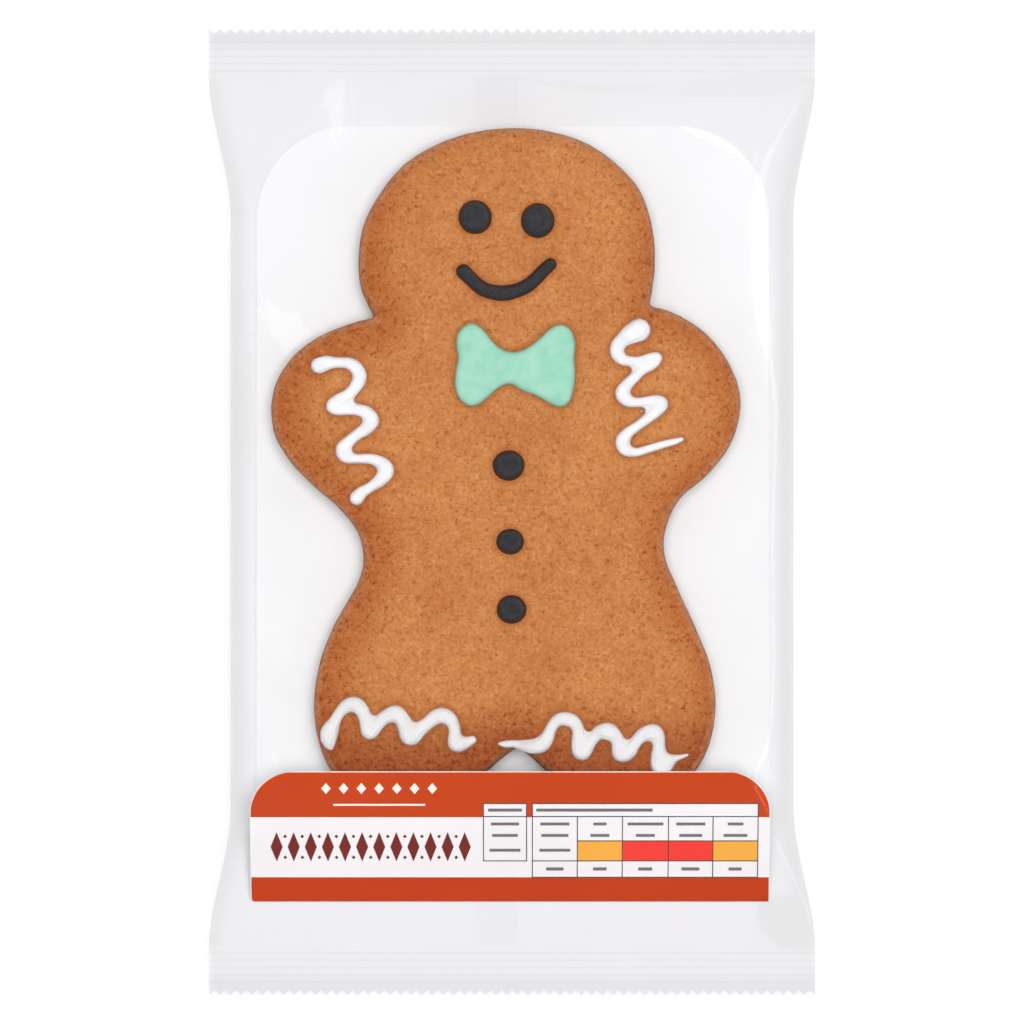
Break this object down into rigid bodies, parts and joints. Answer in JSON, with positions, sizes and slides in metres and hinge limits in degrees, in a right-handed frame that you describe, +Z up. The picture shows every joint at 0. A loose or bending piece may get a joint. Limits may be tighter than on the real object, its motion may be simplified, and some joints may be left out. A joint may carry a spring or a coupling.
{
  "type": "packed gingerbread biscuit",
  "caption": "Iced gingerbread man biscuit on a folded card, sealed in a clear flow-wrap packet with crimped ends, lying on its back",
  "frame": {"origin": "the middle of the packet's box, on the surface that its flat back rests on", "axes": "+Z up out of the packet's front, +Y from the biscuit's feet towards its head, +X to the right as seen from the front"},
  "size_m": [0.1254, 0.2, 0.0126],
  "materials": {
    "film": "thin clear polypropylene film, glossy, crimped in fine ribs at the end seals",
    "card": "smooth white board, satin, the flap printed in flat fields of orange-red, white and dark brown",
    "biscuit": "baked gingerbread, matt, finely pitted and speckled, browner at the rim",
    "white_icing": "set white sugar icing, satin",
    "black_icing": "set black sugar icing, satin",
    "mint_icing": "set pale mint sugar icing, satin, faintly mottled"
  },
  "bodies": {
    "root": {"packet": "film"}
  },
  "joints": []
}
